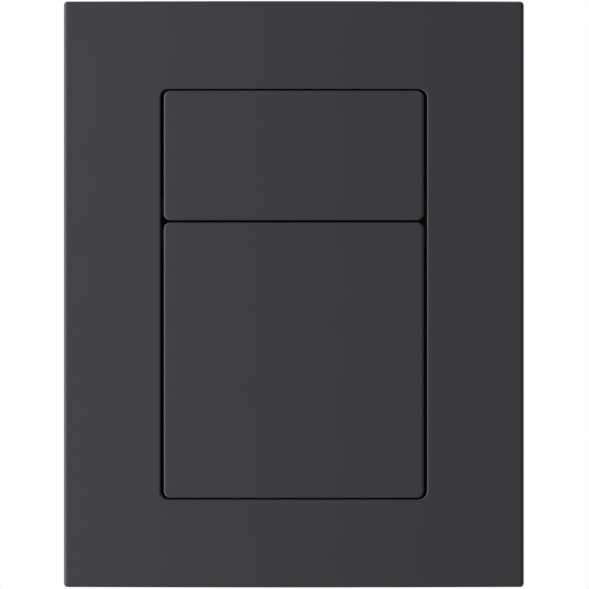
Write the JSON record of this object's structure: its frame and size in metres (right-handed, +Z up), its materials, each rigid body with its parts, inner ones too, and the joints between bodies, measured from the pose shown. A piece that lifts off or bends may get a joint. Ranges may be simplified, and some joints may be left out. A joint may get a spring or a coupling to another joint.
{
  "type": "flush button plate",
  "caption": "Crowned matte wall plate for a concealed cistern with a small and a large hinged flush button, sprung rockers, push rods and a clip-on mounting frame.",
  "frame": {"origin": "middle of the plate's height and width, on the finished wall that the plate and frame rest on", "axes": "+X to the right seen from the room, +Y into the wall, +Z up"},
  "size_m": [0.1562, 0.088, 0.199],
  "materials": {
    "anthracite_lacquer": "matte lacquer",
    "black_plastic": "moulded",
    "pale_plastic": "satin",
    "mid_grey_plastic": "moulded",
    "bright_steel": "ground",
    "zinc_steel": "zinc plated",
    "spring_steel": "drawn",
    "black_rubber": "matte"
  },
  "bodies": {
    "plate": {"cover_plate": "anthracite_lacquer", "button_carrier": "black_plastic", "mounting_frame": "mid_grey_plastic", "half_hinge_pin": "bright_steel", "full_hinge_pin": "bright_steel", "carrier_screws": "zinc_steel", "fixing_bolt_left": "zinc_steel", "fixing_bolt_right": "zinc_steel", "half_spring_left": "spring_steel", "half_buffer_left": "black_rubber", "half_spring_right": "spring_steel", "half_buffer_right": "black_rubber", "full_spring_left": "spring_steel", "full_buffer_left": "black_rubber", "full_spring_right": "spring_steel", "full_buffer_right": "black_rubber", "retaining_clip_top_left": "spring_steel", "retaining_clip_top_right": "spring_steel", "retaining_clip_bottom_left": "spring_steel", "retaining_clip_bottom_right": "spring_steel"},
    "half_button": {"half_button_cap": "anthracite_lacquer", "half_button_rocker": "black_plastic"},
    "full_button": {"full_button_cap": "anthracite_lacquer", "full_button_rocker": "black_plastic"},
    "half_rod": {"half_push_rod": "pale_plastic", "half_rod_slider": "pale_plastic"},
    "full_rod": {"full_push_rod": "pale_plastic", "full_rod_slider": "pale_plastic"}
  },
  "joints": [
    {"name": "half_button_press", "type": "hinge", "parent": "plate", "child": "half_button", "pos_m": [0, -0.00626, 0.0644], "axis": [1, 0, 0], "range_deg": [0, 7], "stiffness_Nm_per_rad": 0.32, "springref_deg": -8.59, "deforming": ["half_spring_left", "half_spring_right"]},
    {"name": "full_button_press", "type": "hinge", "parent": "plate", "child": "full_button", "pos_m": [0, -0.00626, -0.0644], "axis": [-1, 0, 0], "range_deg": [0, 4.5], "stiffness_Nm_per_rad": 1.3, "springref_deg": -4.3, "deforming": ["full_spring_left", "full_spring_right"]},
    {"name": "half_rod_slide", "type": "slide", "parent": "plate", "child": "half_rod", "axis": [0, 1, 0], "range_m": [0, 0.00384]},
    {"name": "full_rod_slide", "type": "slide", "parent": "plate", "child": "full_rod", "axis": [0, 1, 0], "range_m": [0, 0.00636]}
  ],
  "couplings": [
    {"joint": "half_rod_slide", "follows": "half_button_press", "m_per_rad": 0.0313},
    {"joint": "full_rod_slide", "follows": "full_button_press", "m_per_rad": 0.08078}
  ]
}
